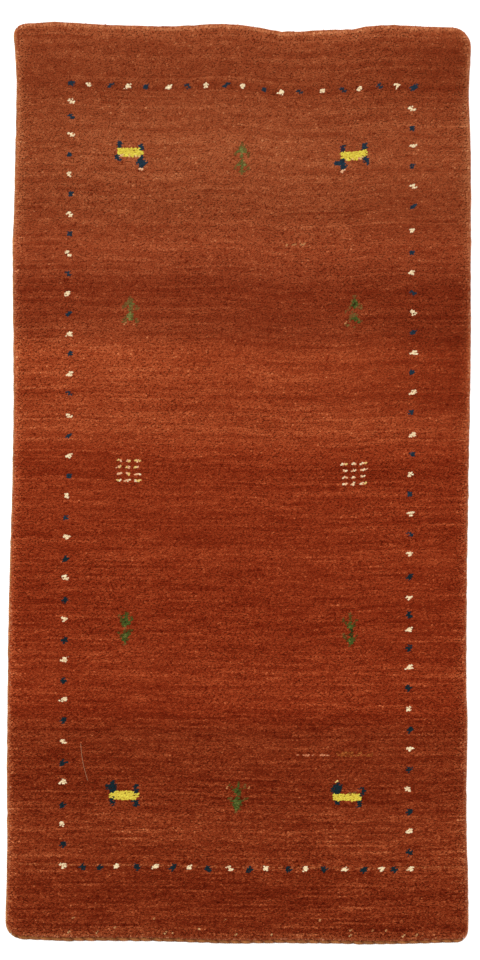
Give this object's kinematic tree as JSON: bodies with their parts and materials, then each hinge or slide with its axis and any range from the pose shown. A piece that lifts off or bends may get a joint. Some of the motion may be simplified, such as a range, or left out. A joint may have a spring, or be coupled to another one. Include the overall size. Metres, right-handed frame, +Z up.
{
  "type": "gabbeh rug",
  "caption": "Small hand-knotted wool pile rug lying flat, with a flat back, rounded pile edges and overcast cords along its sides and ends.",
  "frame": {"origin": "on the floor under the middle of the rug's outline", "axes": "+Y towards the far end of the rug, +X towards its right side, +Z up through the pile"},
  "size_m": [0.7098, 1.4069, 0.0145],
  "materials": {
    "rust_pile_wool": "soft matt wool pile, rust red",
    "selvedge_wool": "matt wrapped wool, tan",
    "end_binding_wool": "matt overcast wool, tan"
  },
  "bodies": {
    "root": {"pile_cloth": "rust_pile_wool", "selvedge_left": "selvedge_wool", "selvedge_right": "selvedge_wool", "end_binding_near": "end_binding_wool", "end_binding_far": "end_binding_wool"}
  },
  "joints": []
}
